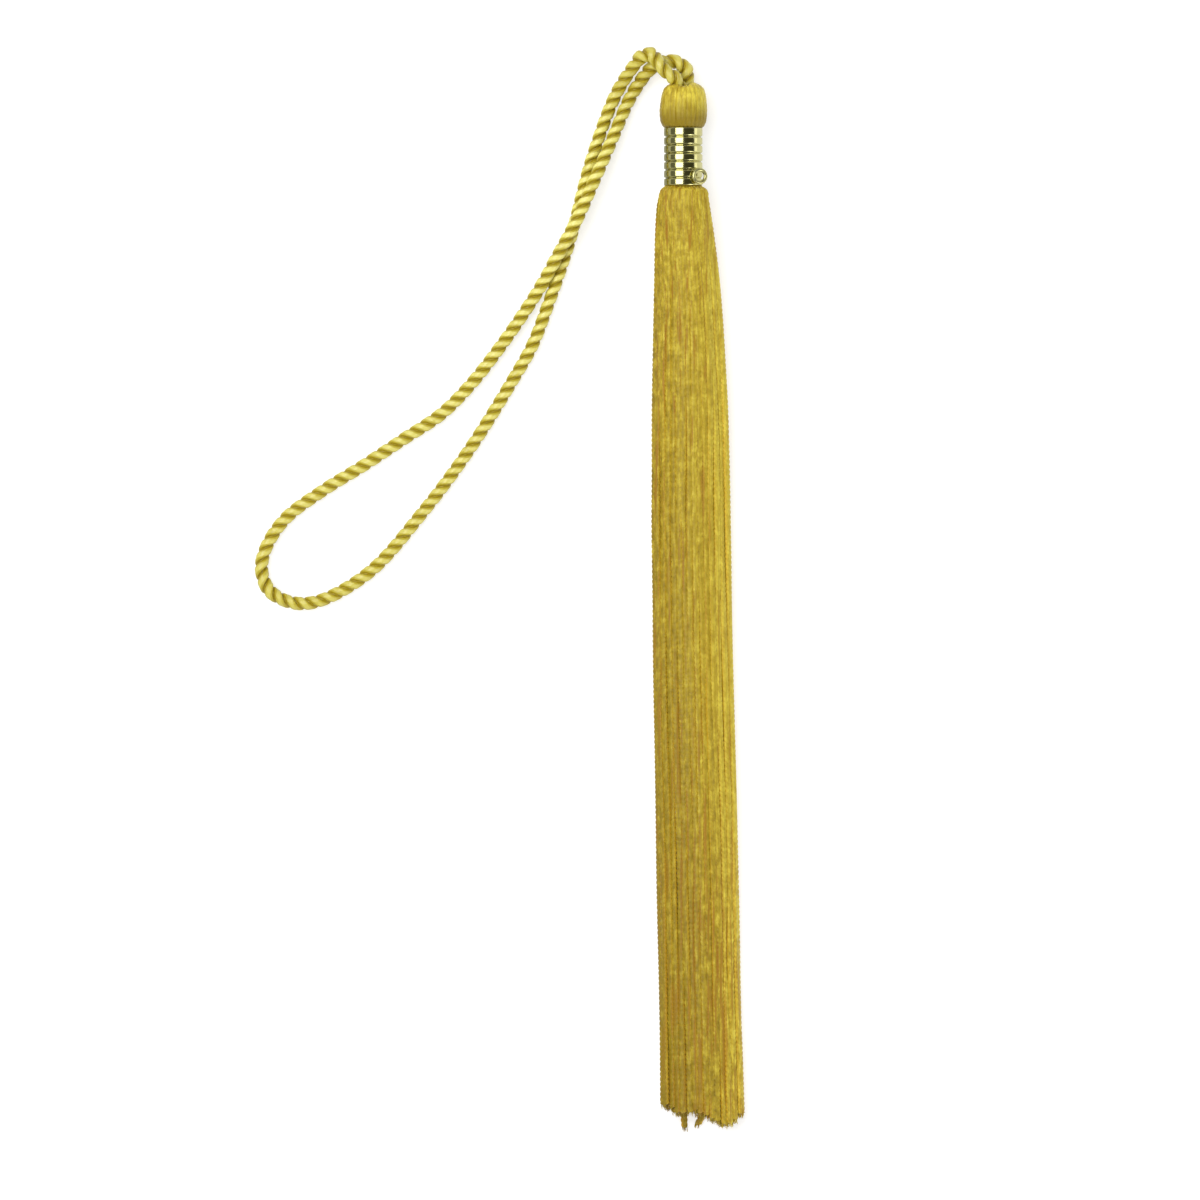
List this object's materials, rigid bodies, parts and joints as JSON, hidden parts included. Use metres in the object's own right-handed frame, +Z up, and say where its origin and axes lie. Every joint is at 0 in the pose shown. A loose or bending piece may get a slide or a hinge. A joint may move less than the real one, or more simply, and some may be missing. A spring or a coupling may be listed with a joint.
{
  "type": "silk tassel",
  "caption": "Long silk tassel with a domed head, a ribbed metal band, a small charm ring and a twisted cord loop, lying on its side.",
  "frame": {"origin": "on the surface it lies on, under the middle of the tassel's box without its cord", "axes": "+Y along the tassel towards its head, +Z up from the surface, and the cord's loop lies at -X"},
  "size_m": [0.1068, 0.2366, 0.0102],
  "materials": {
    "silk_yarn": "silky yarn, satin sheen",
    "polished_brass": "polished",
    "brass_wire": "polished",
    "twisted_silk": "silky twisted cord, satin sheen"
  },
  "bodies": {
    "root": {"yarn_hank": "silk_yarn", "brass_band": "polished_brass", "charm_ring": "brass_wire", "cord_loop": "twisted_silk"}
  },
  "joints": []
}
